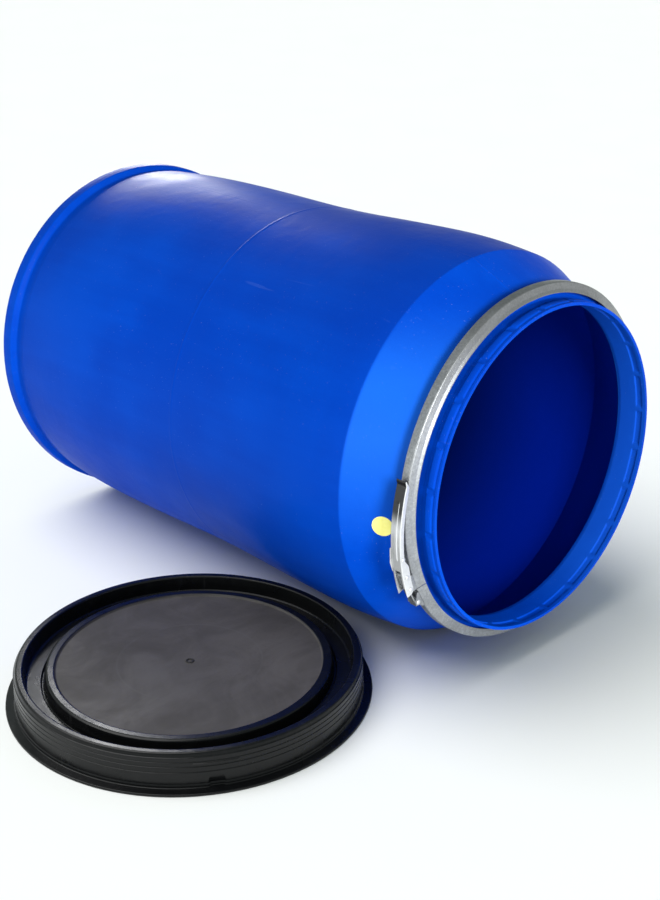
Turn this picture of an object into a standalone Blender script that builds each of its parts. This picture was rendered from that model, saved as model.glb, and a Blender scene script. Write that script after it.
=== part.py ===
"""Plastic open head drum lying on its side, with its clamp ring closed and its lid beside it.

Metres, +Z up. The drum's axis runs along X, with the base at -X and the mouth at +X.
The drum and the lid rest on the plane z = 0, and the origin is the middle of the whole
footprint. Heights along the drum are measured from its base plane, and places round the
clamp ring are angles in degrees from +Y towards +Z, about the drum's axis.
"""

from math import atan2, cos, degrees, hypot, pi, radians, sin, tan

import bmesh
import bpy
from mathutils import Matrix, Vector

# Drum body
DRUM_LENGTH = 0.940
CHIME_RADIUS = 0.2955
BODY_RADIUS = 0.2945
WAIST_DEPTH = 0.005
BASE_TAPER = 0.0060
WALL = 0.0038
SHOULDER_HEIGHT = 0.8128
SHOULDER_RADIUS = 0.2868
NECK_TOP_OF_CONE = 0.8925
CONE_END_RADIUS = 0.2455
FLANGE_RADIUS = 0.2560
FLANGE_BACK = 0.8970
FLANGE_FRONT = 0.9015
MOUTH_RADIUS = 0.2335
LIP_RADIUS = 0.2380
BEAD_RADIUS = 0.2392
NECK_DEPTH = 0.050

# Lid, heights above its own brim
LID_RADIUS = 0.2575
LID_HEIGHT = 0.054
LID_RIM_RADIUS = 0.2435
LID_CENTRE_BEHIND_MOUTH = 0.285
LID_CENTRE_FROM_AXIS = 0.424
GASKET_BOTTOM = 0.0385
GASKET_HEIGHT = 0.010

# Clamp ring: a tapered channel of sheet steel
RING_RADIUS = 0.2605
RING_SHEET = 0.0012
RING_WEB_BACK = 0.8960
RING_WEB_FRONT = 0.9105
RING_EDGE_RADIUS = 0.2464
RING_EDGE_BACK = 0.8945
RING_EDGE_FRONT = 0.9150
GAP_ANGLE = 205.5
FLEX_ANGLE = GAP_ANGLE - 180.0
GAP_WIDTH = 0.0012

# Lever closure, in the plane of the ring
CLOSURE_HEIGHT = 0.90425
LEVER_PIN_PLACE = (203.0, 0.2720)
CATCH_PIN_PLACE = (209.5, 0.2680)
LEVER_BEND_CENTRE = (-0.0189, -0.0242)
LEVER_BEND_RADIUS = 0.2540
LEVER_TIP_ANGLE = 162.4
LEVER_HEEL_ANGLE = 201.3
LEVER_WIDTH = 0.0175
LEVER_SHEET = 0.0012
LEVER_FLANGE = 0.0070
LEVER_EAR = 0.0135
STRAP_PIN_ANGLE = 194.45
STRAP_PIN_DEPTH = 0.0070
STRAP_SLOT_START = 191.6
HEEL_OPEN_START = 197.9
CHEEK_GAP = 0.0115
CHEEK_SHEET = 0.0015
CHEEK_TAB = 0.0050
STRAP_WIDTH = 0.0108
STRAP_SHEET = 0.0020
PIN_RADIUS = 0.0020
HOLE_RADIUS = 0.0023
HEAD_RADIUS = 0.0034
HEAD_HEIGHT = 0.0010
HOOK_PLAY = 0.0016
LATCH_RIVET_ANGLE = 187.6
LATCH_REACH = 0.022

# Round sticker on the shoulder
STICKER_RADIUS = 0.0148
STICKER_SHEET = 0.0005
STICKER_HEIGHT = 0.8665
STICKER_ANGLE = 186.0

TOUCH = 0.0003
ROUND_STEPS = 48
ARC_STEP_DEGREES = 5.0
PIN_SIDES = 20

BASE_X = -DRUM_LENGTH / 2
AXIS_Y = (LID_CENTRE_FROM_AXIS + LID_RADIUS - CHIME_RADIUS) / 2
AXIS = Vector((0.0, AXIS_Y, CHIME_RADIUS))
LID_PLACE = Vector((BASE_X + DRUM_LENGTH - LID_CENTRE_BEHIND_MOUTH, AXIS_Y - LID_CENTRE_FROM_AXIS, 0.0))
CLOSURE_X = BASE_X + CLOSURE_HEIGHT

COLOURS = {
    "blue_plastic": ((0.006, 0.065, 0.500, 1.0), 0.38, 0.0),
    "black_plastic": ((0.012, 0.012, 0.013, 1.0), 0.34, 0.0),
    "black_rubber": ((0.020, 0.020, 0.020, 1.0), 0.75, 0.0),
    "zinc_steel": ((0.640, 0.650, 0.660, 1.0), 0.34, 1.0),
    "yellow_paper": ((0.930, 0.860, 0.250, 1.0), 0.60, 0.0),
}


def clear_scene():
    for item in list(bpy.data.objects):
        bpy.data.objects.remove(item, do_unlink=True)


def new_collection(name):
    collection = bpy.data.collections.new(name)
    bpy.context.scene.collection.children.link(collection)
    return collection


def material(name):
    found = bpy.data.materials.get(name)
    if found:
        return found
    colour, roughness, metallic = COLOURS[name]
    made = bpy.data.materials.new(name)
    made.use_nodes = True
    shader = made.node_tree.nodes["Principled BSDF"]
    shader.inputs["Base Color"].default_value = colour
    shader.inputs["Roughness"].default_value = roughness
    shader.inputs["Metallic"].default_value = metallic
    return made


# ---------- outlines ----------

def rounded(corners, steps=4):
    """Points of a path through (a, b, fillet radius) corners, with its corners rounded."""
    points = [corners[0][:2]]
    for before, corner, after in zip(corners, corners[1:], corners[2:]):
        points.extend(fillet(Vector(before[:2]), Vector(corner[:2]), Vector(after[:2]), corner[2], steps))
    points.append(corners[-1][:2])
    return points


def fillet(before, corner, after, radius, steps):
    if radius <= 0:
        return [tuple(corner)]
    back = (before - corner).normalized()
    ahead = (after - corner).normalized()
    half = back.angle(ahead) / 2
    centre = corner + (back + ahead).normalized() * (radius / sin(half))
    start = corner + back * (radius / tan(half)) - centre
    end = corner + ahead * (radius / tan(half)) - centre
    turn = start.angle_signed(end)
    rows = []
    for index in range(steps + 1):
        angle = -turn * index / steps
        spun = start.copy()
        spun.rotate(Matrix.Rotation(angle, 2))
        rows.append(tuple(centre + spun))
    return rows


def circle_points(centre, radius, sides=PIN_SIDES):
    return [(centre[0] + radius * cos(2 * pi * k / sides), centre[1] + radius * sin(2 * pi * k / sides))
            for k in range(sides)]


def arc_points(centre, radius, start, end, steps):
    """Points on an arc about a centre, from one angle in degrees to another."""
    angles = [radians(start + (end - start) * k / steps) for k in range(steps + 1)]
    return [(centre[0] + radius * cos(a), centre[1] + radius * sin(a)) for a in angles]


def polar(angle, radius, centre=(0.0, 0.0)):
    return (centre[0] + radius * cos(radians(angle)), centre[1] + radius * sin(radians(angle)))


# ---------- solids ----------

def finish(obj, colour, home, smooth_angle=30.0):
    """Give a part its material, its collection and smooth shading between sharp edges."""
    obj.data.materials.clear()
    obj.data.materials.append(material(colour))
    for collection in list(obj.users_collection):
        collection.objects.unlink(obj)
    home.objects.link(obj)
    obj.data.shade_smooth()
    obj.data.set_sharp_from_angle(angle=radians(smooth_angle))
    return obj


def apply_modifiers(obj):
    """Replace an object's mesh by its evaluated one."""
    graph = bpy.context.evaluated_depsgraph_get()
    solid = bpy.data.meshes.new_from_object(obj.evaluated_get(graph))
    obj.modifiers.clear()
    obj.data = solid
    return obj


def turned(name, path, place, along_x):
    """A profile of (radius, height) points turned about an axis with a Screw modifier."""
    mesh = bpy.data.meshes.new(name)
    points = [(radius, 0.0, height) for radius, height in path]
    mesh.from_pydata(points, [(k, k + 1) for k in range(len(points) - 1)], [])
    obj = bpy.data.objects.new(name, mesh)
    bpy.context.scene.collection.objects.link(obj)
    obj.location = place
    if along_x:
        obj.rotation_euler = (0.0, pi / 2, 0.0)
    screw = obj.modifiers.new("turn", "SCREW")
    screw.axis = "Z"
    screw.steps = ROUND_STEPS
    screw.render_steps = ROUND_STEPS
    screw.use_merge_vertices = True
    screw.merge_threshold = 0.00001
    bpy.context.view_layer.update()
    return apply_modifiers(obj)


def turned_ring(name, outline, place, along_x):
    """A closed outline of (radius, height) points turned into a ring."""
    return turned(name, outline + outline[:1], place, along_x)


def swept(name, outline, bend_centre, start, end, pivot):
    """A closed outline of (x, radius) points swept round an axis along X through bend_centre.

    The mesh's own origin is the pivot, a (y, z) place in the plane of the ring."""
    bm = bmesh.new()
    corners = []
    for x, radius in outline:
        y, z = polar(start, radius, bend_centre)
        corners.append(bm.verts.new((x, y - pivot[0], z - pivot[1])))
    bm.faces.new(corners)
    steps = max(2, round(abs(end - start) / ARC_STEP_DEGREES))
    centre = (0.0, bend_centre[0] - pivot[0], bend_centre[1] - pivot[1])
    bmesh.ops.spin(bm, geom=bm.verts[:] + bm.edges[:] + bm.faces[:], cent=centre, axis=(1.0, 0.0, 0.0),
                   angle=radians(end - start), steps=steps)
    bmesh.ops.remove_doubles(bm, verts=bm.verts[:], dist=0.000001)
    bmesh.ops.recalc_face_normals(bm, faces=bm.faces[:])
    return placed(name, bm, (0.0, pivot[0], pivot[1]))


def plate(name, loops, x, thickness, pivot):
    """A flat plate in the plane of the ring, from closed loops of (y, z) points."""
    curve = bpy.data.curves.new(name, "CURVE")
    curve.dimensions = "2D"
    curve.fill_mode = "BOTH"
    curve.extrude = thickness / 2
    for loop in loops:
        spline = curve.splines.new("POLY")
        spline.points.add(len(loop) - 1)
        spline.use_cyclic_u = True
        for point, (y, z) in zip(spline.points, loop):
            point.co = (y - pivot[0], z - pivot[1], 0.0, 1.0)
    drawn = bpy.data.objects.new(name, curve)
    bpy.context.scene.collection.objects.link(drawn)
    bpy.context.view_layer.update()
    graph = bpy.context.evaluated_depsgraph_get()
    mesh = bpy.data.meshes.new_from_object(drawn.evaluated_get(graph))
    bpy.data.objects.remove(drawn, do_unlink=True)
    bm = bmesh.new()
    bm.from_mesh(mesh)
    bmesh.ops.remove_doubles(bm, verts=bm.verts[:], dist=0.000001)
    # The curve's own plane is XY. It stands up in the plane of the ring, facing along X.
    stand_up = Matrix(((0, 0, 1, 0), (1, 0, 0, 0), (0, 1, 0, 0), (0, 0, 0, 1)))
    bmesh.ops.transform(bm, matrix=Matrix.Translation((x, 0.0, 0.0)) @ stand_up, verts=bm.verts[:])
    bmesh.ops.recalc_face_normals(bm, faces=bm.faces[:])
    return placed(name, bm, (0.0, pivot[0], pivot[1]))


def rod(name, sections, place):
    """A round rod along X from (x, radius) sections, about a (y, z) place."""
    bm = bmesh.new()
    rings = []
    for x, radius in sections:
        rings.append([bm.verts.new((x, y, z)) for y, z in circle_points((0.0, 0.0), radius)])
    for left, right in zip(rings, rings[1:]):
        for k in range(PIN_SIDES):
            after = (k + 1) % PIN_SIDES
            bm.faces.new((left[k], left[after], right[after], right[k]))
    bm.faces.new(rings[0])
    bm.faces.new(rings[-1])
    bmesh.ops.recalc_face_normals(bm, faces=bm.faces[:])
    return placed(name, bm, (0.0, place[0], place[1]))


def placed(name, bm, offset):
    """An object from a bmesh whose x is along the drum and whose (y, z) are about its axis."""
    mesh = bpy.data.meshes.new(name)
    bm.to_mesh(mesh)
    bm.free()
    obj = bpy.data.objects.new(name, mesh)
    obj.location = AXIS + Vector(offset)
    bpy.context.scene.collection.objects.link(obj)
    bpy.context.view_layer.update()
    return obj


def carve(target, cutters, cutter_home, operation="DIFFERENCE"):
    """Cut or join a part with EXACT booleans, and put its cutters away."""
    for cutter in cutters:
        cut = target.modifiers.new("carve", "BOOLEAN")
        cut.operation = operation
        cut.object = cutter
        cut.solver = "EXACT"
        cutter.hide_render = True
        cutter.display_type = "WIRE"
        for collection in list(cutter.users_collection):
            collection.objects.unlink(cutter)
        cutter_home.objects.link(cutter)
    bpy.context.view_layer.update()
    return apply_modifiers(target)


# ---------- drum ----------

def body_radius(height):
    """The body's outer radius: full near both ends, a shallow waist between them."""
    low, high = 0.20, 0.70
    if height < low:
        return BODY_RADIUS - BASE_TAPER * ((low - height) / (low - 0.045)) ** 2
    if height < high:
        return BODY_RADIUS - WAIST_DEPTH * sin(pi * (height - low) / (high - low)) ** 2
    fall = (height - high) / (SHOULDER_HEIGHT - high)
    return BODY_RADIUS - (BODY_RADIUS - SHOULDER_RADIUS) * fall ** 2


def drum_path():
    """Inside from the middle of the floor up to the lip, then outside down to the base."""
    body_heights = [0.060, 0.20, 0.32, 0.45, 0.58, 0.70, 0.76]
    inner_body = [(body_radius(h) - WALL, h, 0.0) for h in body_heights]
    outer_body = [(body_radius(h), h, 0.0) for h in reversed(body_heights)]
    neck_inner = DRUM_LENGTH - NECK_DEPTH
    inside = [
        (0.0, 0.0265, 0.0), (0.262, 0.0185, 0.016), (0.2826, 0.034, 0.020),
        *inner_body,
        (SHOULDER_RADIUS - WALL, SHOULDER_HEIGHT - 0.001, 0.004),
        (CONE_END_RADIUS - 0.0028, NECK_TOP_OF_CONE - 0.0065, 0.003),
        (MOUTH_RADIUS + 0.0012, neck_inner, 0.001),
        (MOUTH_RADIUS, neck_inner + 0.006, 0.0), (MOUTH_RADIUS, DRUM_LENGTH, 0.0018),
    ]
    outside = [
        (LIP_RADIUS, DRUM_LENGTH, 0.0018), (LIP_RADIUS, DRUM_LENGTH - 0.0065, 0.0),
        (BEAD_RADIUS, DRUM_LENGTH - 0.0085, 0.0), (BEAD_RADIUS, DRUM_LENGTH - 0.0175, 0.0),
        (LIP_RADIUS - 0.0014, DRUM_LENGTH - 0.0205, 0.0), (LIP_RADIUS - 0.0014, FLANGE_FRONT, 0.003),
        (FLANGE_RADIUS, FLANGE_FRONT, 0.0014), (FLANGE_RADIUS, FLANGE_BACK, 0.0014),
        (CONE_END_RADIUS, FLANGE_BACK, 0.0012), (CONE_END_RADIUS, NECK_TOP_OF_CONE, 0.0),
        (SHOULDER_RADIUS, SHOULDER_HEIGHT, 0.003),
        *outer_body,
        (0.2872, 0.040, 0.0), (0.2862, 0.029, 0.003), (CHIME_RADIUS, 0.022, 0.004),
        (CHIME_RADIUS, 0.0, 0.005), (0.2770, 0.0, 0.003), (0.2740, 0.014, 0.004),
        (0.262, 0.014, 0.0), (0.0, 0.022, 0.0),
    ]
    return rounded(inside + outside, steps=1)


def build_drum(home):
    body = turned("drum_body", drum_path(), (BASE_X, AXIS.y, AXIS.z), along_x=True)
    finish(body, "blue_plastic", home)


def build_sticker(home):
    """A flat disc standing just off the conical shoulder, facing straight out from it."""
    slope = atan2(SHOULDER_RADIUS - CONE_END_RADIUS, NECK_TOP_OF_CONE - SHOULDER_HEIGHT)
    radius = SHOULDER_RADIUS - (STICKER_HEIGHT - SHOULDER_HEIGHT) * tan(slope)
    out = Vector((0.0, *polar(STICKER_ANGLE, 1.0)))
    normal = out * cos(slope) + Vector((1.0, 0.0, 0.0)) * sin(slope)
    surface = AXIS + out * radius + Vector((BASE_X + STICKER_HEIGHT, 0.0, 0.0))
    bpy.ops.mesh.primitive_cylinder_add(vertices=40, radius=STICKER_RADIUS, depth=STICKER_SHEET)
    sticker = bpy.context.object
    sticker.name = "sticker"
    sticker.location = surface + normal * (TOUCH + STICKER_SHEET / 2)
    sticker.rotation_euler = normal.to_track_quat("Z", "Y").to_euler()
    finish(sticker, "yellow_paper", home)


# ---------- lid ----------

def lid_path():
    """The top from the middle out to the rim, down the skirt to the brim, and back underneath."""
    top = [
        (0.0, 0.0405, 0.0), (0.178, 0.0425, 0.0), (0.1865, 0.0425, 0.001), (0.1885, 0.0455, 0.002),
        (0.2010, 0.0455, 0.003), (0.2035, 0.0265, 0.0015), (0.2060, 0.0265, 0.001),
        (0.2065, 0.0300, 0.001), (0.2270, 0.0300, 0.002), (0.2300, LID_HEIGHT, 0.002),
        (LID_RIM_RADIUS, LID_HEIGHT, 0.003),
    ]
    outer = [(LID_RIM_RADIUS + 0.0008, 0.0045, 0.001), (LID_RADIUS, 0.0045, 0.001), (LID_RADIUS, 0.0, 0.001)]
    roof = GASKET_BOTTOM + GASKET_HEIGHT + TOUCH
    under = [
        (0.2408, 0.0, 0.001), (0.2403, roof, 0.0), (0.2327, roof, 0.0), (0.2300, 0.0270, 0.002),
        (0.2095, 0.0270, 0.001), (0.2085, 0.0235, 0.001), (0.2005, 0.0235, 0.002), (0.1980, 0.0425, 0.001),
        (0.1915, 0.0425, 0.001), (0.1900, 0.0395, 0.001), (0.178, 0.0395, 0.0), (0.0, 0.0375, 0.0),
    ]
    return rounded(top + outer + under, steps=1)


def build_lid(home):
    lid = turned("lid", lid_path(), LID_PLACE, along_x=False)
    finish(lid, "black_plastic", home)
    low, high = GASKET_BOTTOM, GASKET_BOTTOM + GASKET_HEIGHT
    seal = [(0.2335, high), (0.2399, high), (0.2399, low), (0.2335, low)]
    finish(turned_ring("lid_gasket", seal, LID_PLACE, along_x=False), "black_rubber", home)


# ---------- clamp ring ----------

def ring_outline():
    """The channel's section as (x, radius) points: a web with two flanges that spread inwards."""
    web_back, web_front = BASE_X + RING_WEB_BACK, BASE_X + RING_WEB_FRONT
    edge_back, edge_front = BASE_X + RING_EDGE_BACK, BASE_X + RING_EDGE_FRONT
    outer = [(edge_back, RING_EDGE_RADIUS), (web_back, RING_RADIUS - 0.0012),
             (web_back + 0.0012, RING_RADIUS), (web_front - 0.0012, RING_RADIUS),
             (web_front, RING_RADIUS - 0.0012), (edge_front, RING_EDGE_RADIUS)]
    inner = [(edge_front - RING_SHEET, RING_EDGE_RADIUS), (web_front - RING_SHEET, RING_RADIUS - 0.0022),
             (web_front - 0.0022, RING_RADIUS - RING_SHEET), (web_back + 0.0022, RING_RADIUS - RING_SHEET),
             (web_back + RING_SHEET, RING_RADIUS - 0.0022), (edge_back + RING_SHEET, RING_EDGE_RADIUS)]
    return outer + inner


def build_ring(home):
    """The band in two halves: they part at the closure, and bend at the flex line opposite it."""
    cut = degrees(GAP_WIDTH / 2 / RING_RADIUS)
    seam = degrees(TOUCH / RING_RADIUS)
    hinge = polar(FLEX_ANGLE, RING_RADIUS)
    middle = (0.0, 0.0)
    upper = swept("ring_upper", ring_outline(), middle, FLEX_ANGLE + seam, GAP_ANGLE - cut, hinge)
    lower = swept("ring_lower", ring_outline(), middle, GAP_ANGLE + cut, FLEX_ANGLE + 360.0 - seam, middle)
    finish(upper, "zinc_steel", home)
    finish(lower, "zinc_steel", home)


# ---------- lever closure ----------

LEVER_PIN = polar(*LEVER_PIN_PLACE)
CATCH_PIN = polar(*CATCH_PIN_PLACE)
STRAP_PIN = polar(STRAP_PIN_ANGLE, LEVER_BEND_RADIUS - STRAP_PIN_DEPTH, LEVER_BEND_CENTRE)
LATCH_PIN = polar(LATCH_RIVET_ANGLE, LEVER_BEND_RADIUS - 0.0042, LEVER_BEND_CENTRE)
FLEX_PIN = polar(FLEX_ANGLE, RING_RADIUS)


def cheek_outline(start, end, pin_place, tab_radius):
    """Side view of a bracket: its whole foot on the band, narrowing to a round tab at its pin."""
    beyond = 0.4
    foot_top = RING_RADIUS + TOUCH + CHEEK_SHEET + 0.0004
    under = arc_points((0.0, 0.0), RING_RADIUS - 0.002, start - beyond, end + beyond, 4)
    pin_angle = degrees(atan2(pin_place[1], pin_place[0])) % 360.0
    tab = arc_points(pin_place, tab_radius, pin_angle + 80.0, pin_angle - 80.0, 10)
    return under + [polar(end + beyond, foot_top)] + tab + [polar(start - beyond, foot_top)]


def bracket(name, start, end, pin_place, pivot, cutter_home):
    """A folded bracket: a foot plate spot welded to the band, with two cheeks that hold a pin."""
    half_gap = CHEEK_GAP / 2
    half_width = half_gap + CHEEK_SHEET
    low = RING_RADIUS + TOUCH
    high = low + CHEEK_SHEET
    top = hypot(*pin_place) + 0.008
    outline = [(-half_width, low), (-half_width, top), (-half_gap, top), (-half_gap, high),
               (half_gap, high), (half_gap, top), (half_width, top), (half_width, low)]
    outline = [(CLOSURE_X + x, radius) for x, radius in outline]
    channel = swept(name, outline, (0.0, 0.0), start, end, pivot)
    outline = cheek_outline(start, end, pin_place, CHEEK_TAB)
    side_view = plate(name + "_side", [outline], CLOSURE_X, 0.030, pivot)
    carve(channel, [side_view], cutter_home, "INTERSECT")
    return carve(channel, [pin_hole(name, pin_place)], cutter_home)


def pin_hole(name, place):
    """A cutter for a pin's hole, right across the closure."""
    return rod(name + "_hole", [(CLOSURE_X - 0.020, HOLE_RADIUS), (CLOSURE_X + 0.020, HOLE_RADIUS)], place)


def lever_outline():
    """A channel open towards the band, as (x, radius) points."""
    half = LEVER_WIDTH / 2
    top, low = LEVER_BEND_RADIUS, LEVER_BEND_RADIUS - LEVER_EAR
    under = top - LEVER_SHEET
    return [(CLOSURE_X - half, low), (CLOSURE_X - half, top - 0.0012), (CLOSURE_X - half + 0.0012, top),
            (CLOSURE_X + half - 0.0012, top), (CLOSURE_X + half, top - 0.0012), (CLOSURE_X + half, low),
            (CLOSURE_X + half - LEVER_SHEET, low), (CLOSURE_X + half - LEVER_SHEET, under),
            (CLOSURE_X - half + LEVER_SHEET, under), (CLOSURE_X - half + LEVER_SHEET, low)]


def sector(name, inner, outer, start, end, width, centre=(0.0, 0.0)):
    """A cutter: a thick piece of a flat ring in the plane of the clamp ring."""
    outline = [(CLOSURE_X - width / 2, inner), (CLOSURE_X - width / 2, outer),
               (CLOSURE_X + width / 2, outer), (CLOSURE_X + width / 2, inner)]
    return swept(name, outline, centre, start, end, (0.0, 0.0))


def build_lever(home, cutter_home):
    lever = swept("lever", lever_outline(), LEVER_BEND_CENTRE, LEVER_TIP_ANGLE, LEVER_HEEL_ANGLE, LEVER_PIN)
    wide = LEVER_WIDTH + 0.004
    flange_edge = LEVER_BEND_RADIUS - LEVER_FLANGE
    cutters = [
        sector("lever_flange_cut", flange_edge - 0.012, flange_edge, LEVER_TIP_ANGLE - 2.0, 189.5, wide,
               LEVER_BEND_CENTRE),
        sector("lever_band_cut", RING_RADIUS - 0.014, RING_RADIUS + 0.0012, 164.0, 186.0, wide),
        sector("lever_slot_cut", LEVER_BEND_RADIUS - LEVER_SHEET - 0.001, LEVER_BEND_RADIUS + 0.004,
               STRAP_SLOT_START, LEVER_HEEL_ANGLE + 1.0, STRAP_WIDTH + 0.0008, LEVER_BEND_CENTRE),
        sector("lever_heel_cut", LEVER_BEND_RADIUS - LEVER_SHEET - 0.001, LEVER_BEND_RADIUS + 0.004,
               HEEL_OPEN_START, LEVER_HEEL_ANGLE + 1.0, LEVER_WIDTH - 2 * LEVER_SHEET, LEVER_BEND_CENTRE),
    ]
    for name, place in (("lever_heel", LEVER_PIN), ("lever_strap", STRAP_PIN), ("lever_latch", LATCH_PIN)):
        cutters.append(pin_hole(name, place))
    carve(lever, cutters, cutter_home)
    finish(lever, "zinc_steel", home)


def build_strap(home, cutter_home):
    """The tension strap: an eye on the lever's pin, a plate, and a hook behind the catch pin."""
    eye, catch = Vector(STRAP_PIN), Vector(CATCH_PIN)
    along = (catch - eye).normalized()
    out = Vector((along.y, -along.x))
    if out.dot(eye) < 0:
        out = -out
    inner_face = PIN_RADIUS + 0.0005
    outer_face = inner_face + STRAP_SHEET
    start_angle = degrees(atan2(out.y, out.x))
    eye_radius = outer_face
    eye_arc = arc_points(eye, eye_radius, start_angle, start_angle + 200.0, 14)
    if (Vector(eye_arc[3]) - eye).dot(along) > 0:
        eye_arc = arc_points(eye, eye_radius, start_angle, start_angle - 200.0, 14)
    hook_start = catch + along * (PIN_RADIUS + HOOK_PLAY)
    hook_end = hook_start + along * STRAP_SHEET
    lip = -(PIN_RADIUS + 0.0008)
    loop = [tuple(point) for point in eye_arc]
    loop += [tuple(eye + out * inner_face + along * 0.0052), tuple(hook_start + out * inner_face),
             tuple(hook_start + out * lip), tuple(hook_end + out * lip), tuple(hook_end + out * outer_face)]
    strap = plate("strap", [loop], CLOSURE_X, STRAP_WIDTH, STRAP_PIN)
    carve(strap, [pin_hole("strap_eye", STRAP_PIN)], cutter_home)
    finish(strap, "zinc_steel", home)


def headed(start, end, radius=PIN_RADIUS, both=True):
    """Sections of a pin whose heads stand outside start and end."""
    sections = [(start - HEAD_HEIGHT, HEAD_RADIUS), (start, HEAD_RADIUS), (start, radius), (end, radius)]
    if both:
        sections += [(end, HEAD_RADIUS), (end + HEAD_HEIGHT, HEAD_RADIUS)]
    return sections


def build_pins(home):
    lever_face = LEVER_WIDTH / 2 + TOUCH
    cheek_face = CHEEK_GAP / 2 + CHEEK_SHEET + TOUCH
    left = headed(CLOSURE_X - lever_face, CLOSURE_X - CHEEK_GAP / 2, both=False)
    right = [(2 * CLOSURE_X - x, radius) for x, radius in left]
    pins = [
        ("lever_rivet_back", left, LEVER_PIN),
        ("lever_rivet_front", right, LEVER_PIN),
        ("strap_pin", headed(CLOSURE_X - lever_face, CLOSURE_X + lever_face), STRAP_PIN),
        ("catch_pin", headed(CLOSURE_X - cheek_face, CLOSURE_X + cheek_face), CATCH_PIN),
        ("latch_rivet", headed(CLOSURE_X - lever_face - 0.0015, CLOSURE_X + lever_face), LATCH_PIN),
    ]
    for name, sections, place in pins:
        finish(rod(name, sections, place), "zinc_steel", home)


def build_latch(home, cutter_home):
    """The safety latch: a small plate on the back of the lever, turning on its own rivet."""
    x = CLOSURE_X - LEVER_WIDTH / 2 - TOUCH - 0.0006
    toward = Vector(polar(LATCH_RIVET_ANGLE + 90.0, 1.0))
    out = Vector(polar(LATCH_RIVET_ANGLE, 1.0))
    pin = Vector(LATCH_PIN)
    corners = [
        pin - toward * 0.014 + out * 0.0040, pin + toward * 0.008 + out * 0.0062,
        pin + toward * LATCH_REACH + out * 0.0030, pin + toward * (LATCH_REACH + 0.002) - out * 0.0010,
        pin + toward * (LATCH_REACH - 0.004) - out * 0.0030, pin + toward * 0.010 - out * 0.0030,
        pin - toward * 0.014 - out * 0.0030,
    ]
    latch = plate("safety_latch", [[tuple(point) for point in corners]], x, 0.0012, LATCH_PIN)
    carve(latch, [pin_hole("safety_latch", LATCH_PIN)], cutter_home)
    finish(latch, "zinc_steel", home)


def build_closure(home, cutter_home):
    finish(bracket("lever_bracket", 199.2, 204.9, LEVER_PIN, FLEX_PIN, cutter_home), "zinc_steel", home)
    finish(bracket("catch_bracket", 206.6, 212.4, CATCH_PIN, (0.0, 0.0), cutter_home), "zinc_steel", home)
    build_lever(home, cutter_home)
    build_strap(home, cutter_home)
    build_pins(home)
    build_latch(home, cutter_home)


def main():
    clear_scene()
    home = new_collection("open_head_drum")
    cutter_home = new_collection("cutters")
    build_drum(home)
    build_sticker(home)
    build_lid(home)
    build_ring(home)
    build_closure(home, cutter_home)


main()
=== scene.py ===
"""Looks for the plastic open head drum: fine meshes and procedural materials on its CAD frame.

Metres, +Z up, in the CAD frame. The drum's axis runs along X; places round it are angles in
degrees from +Y towards +Z, and heights along it are measured from its base.
"""
import math

import bmesh
import bpy
import numpy as np
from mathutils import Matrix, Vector


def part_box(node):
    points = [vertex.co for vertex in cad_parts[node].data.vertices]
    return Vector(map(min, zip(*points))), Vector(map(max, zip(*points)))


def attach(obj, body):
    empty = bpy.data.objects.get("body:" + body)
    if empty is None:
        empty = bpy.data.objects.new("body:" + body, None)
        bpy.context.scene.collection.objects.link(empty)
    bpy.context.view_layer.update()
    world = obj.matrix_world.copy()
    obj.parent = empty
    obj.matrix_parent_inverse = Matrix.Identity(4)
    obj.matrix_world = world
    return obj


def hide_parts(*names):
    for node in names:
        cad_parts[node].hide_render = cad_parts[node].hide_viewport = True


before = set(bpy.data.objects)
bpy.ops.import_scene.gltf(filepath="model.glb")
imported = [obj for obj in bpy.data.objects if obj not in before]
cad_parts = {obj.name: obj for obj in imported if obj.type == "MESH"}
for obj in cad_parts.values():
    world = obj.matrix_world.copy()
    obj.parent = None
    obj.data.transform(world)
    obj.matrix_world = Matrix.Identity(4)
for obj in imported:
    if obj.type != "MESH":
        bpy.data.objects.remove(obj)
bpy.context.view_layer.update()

# ---------- places taken from the frame ----------

drum_low, drum_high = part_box("drum_body")
BASE_X = drum_low.x
LENGTH = drum_high.x - drum_low.x
AXIS_Y = (drum_low.y + drum_high.y) / 2
AXIS_Z = (drum_low.z + drum_high.z) / 2
lid_low, lid_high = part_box("lid")
LID_X = (lid_low.x + lid_high.x) / 2
LID_Y = (lid_low.y + lid_high.y) / 2

# ---------- the drum's own sizes ----------

CHIME_RADIUS = 0.2955
BODY_RADIUS = 0.2945
WAIST_DEPTH = 0.005
BASE_TAPER = 0.0060
WALL = 0.0038
SHOULDER_HEIGHT = 0.8128
SHOULDER_RADIUS = 0.2868
CONE_END_HEIGHT = 0.8925
CONE_END_RADIUS = 0.2455
MOUTH_RADIUS = 0.2335
LIP_RADIUS = 0.2380
FLANGE_RADIUS = 0.2560
SEAM_HEIGHT = 0.455
PARTING_ANGLES = (96.3, 276.3)
PADS = 24
PAD_PHASE = 6.3
PAD_GAP = 1.15
PAD_HEIGHT = 0.9285
PAD_HALF_LENGTH = 0.0052
PAD_ROWS = (0.9218, 0.9226, 0.9233, 0.9240, 0.9248, 0.9285, 0.9322, 0.9330, 0.9337, 0.9344, 0.9352)
NECK_HEIGHT = LENGTH - 0.050
STICKER_ANGLE = 186.0
STICKER_HEIGHT = 0.8665
STICKER_RADIUS = 0.0148

# ---------- the ring's and the lever's own sizes ----------

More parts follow.
